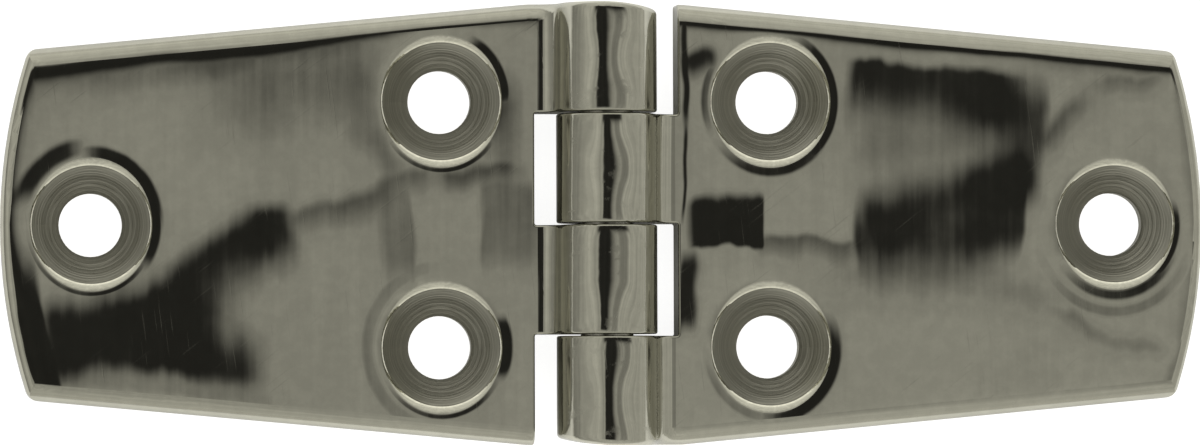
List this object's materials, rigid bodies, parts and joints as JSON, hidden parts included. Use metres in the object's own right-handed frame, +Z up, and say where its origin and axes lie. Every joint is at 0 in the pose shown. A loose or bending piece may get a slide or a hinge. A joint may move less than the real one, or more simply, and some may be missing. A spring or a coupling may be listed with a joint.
{
  "type": "door hinge",
  "caption": "Polished cast steel hinge lying open: tapered leaves with countersunk screw holes, joined by interleaved knuckles on a hidden pin.",
  "frame": {"origin": "on the mounting plane, straight under the middle of the pin", "axes": "+X along the open hinge towards the right leaf, +Y along the pin, +Z up out of the countersunk face"},
  "size_m": [0.103, 0.0376, 0.0085],
  "materials": {
    "polished_steel": "polished",
    "pin_steel": "satin"
  },
  "bodies": {
    "fixed_leaf": {"left_leaf": "polished_steel", "hinge_pin": "pin_steel"},
    "swinging_leaf": {"right_leaf": "polished_steel"}
  },
  "joints": [
    {"name": "leaf_swing", "type": "hinge", "parent": "fixed_leaf", "child": "swinging_leaf", "pos_m": [0, 0, 0.0042], "axis": [0, -1, 0], "range_deg": [-110, 180]}
  ]
}
